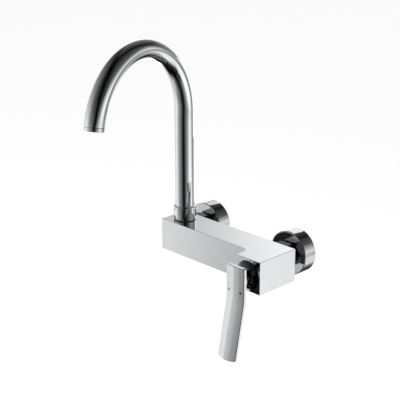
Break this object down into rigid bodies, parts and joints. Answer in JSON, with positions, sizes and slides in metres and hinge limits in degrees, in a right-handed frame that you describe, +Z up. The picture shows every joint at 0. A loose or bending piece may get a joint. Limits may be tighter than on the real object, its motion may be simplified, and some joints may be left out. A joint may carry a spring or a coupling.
{
  "type": "wall mounted kitchen mixer tap",
  "caption": "Chrome wall-mounted kitchen mixer: square bar on two wall unions, swivelling gooseneck spout, and a flat hanging lever on a block at the right end.",
  "frame": {"origin": "on the wall plane, midway between the two inlet axes and level with them", "axes": "+X to the user's right along the bar, -Y out of the wall towards the user, +Z up"},
  "size_m": [0.2107, 0.2661, 0.3721],
  "materials": {
    "chrome": "polished",
    "brass": "turned",
    "rubber": "moulded",
    "nylon": "moulded",
    "ceramic": "lapped",
    "steel": "drawn",
    "case_plastic": "moulded",
    "index_light": "gloss",
    "index_dark": "gloss"
  },
  "bodies": {
    "mixer": {"body": "chrome", "spout_bush": "nylon", "cartridge_base": "case_plastic", "port_seals": "rubber", "disc_fixed": "ceramic", "cartridge_case": "case_plastic", "retaining_nut": "brass", "bonnet": "chrome", "inlet_tail_left": "chrome", "union_nut_left": "chrome", "union_washer_left": "rubber", "strainer_left": "steel", "eccentric_left": "chrome", "flange_left": "chrome", "flange_seal_left": "rubber", "inlet_tail_right": "chrome", "union_nut_right": "chrome", "union_washer_right": "rubber", "strainer_right": "steel", "eccentric_right": "chrome", "flange_right": "chrome", "flange_seal_right": "rubber"},
    "spout": {"spout_tube": "chrome", "spout_collar": "chrome", "spout_tail": "brass", "spout_oring_upper": "rubber", "spout_oring_lower": "rubber", "spout_clip": "steel", "aerator_ring": "chrome", "aerator_insert": "nylon", "aerator_washer": "rubber"},
    "turner": {"cartridge_core": "nylon", "pivot_pin": "steel"},
    "lever": {"stem": "brass", "lever": "chrome", "grub_screw": "steel", "screw_plug": "chrome", "index_left": "index_light", "index_right": "index_dark"},
    "shuttle": {"disc_moving": "ceramic"}
  },
  "joints": [
    {"name": "spout_swivel", "type": "hinge", "parent": "mixer", "child": "spout", "pos_m": [-0.0665, -0.0645, 0], "axis": [0, 0, 1], "range_deg": [-113, 87]},
    {"name": "lever_turn", "type": "hinge", "parent": "mixer", "child": "turner", "pos_m": [0.0875, -0.09, 0], "axis": [0, -1, 0], "range_deg": [-50, 50]},
    {"name": "lever_lift", "type": "hinge", "parent": "turner", "child": "lever", "pos_m": [0.0875, -0.09, 0], "axis": [-1, 0, 0], "range_deg": [0, 25]},
    {"name": "disc_slide", "type": "slide", "parent": "turner", "child": "shuttle", "axis": [0, 0, -1], "range_m": [0, 0.0029]}
  ],
  "couplings": [
    {"joint": "disc_slide", "follows": "lever_lift", "m_per_rad": 0.00655}
  ]
}
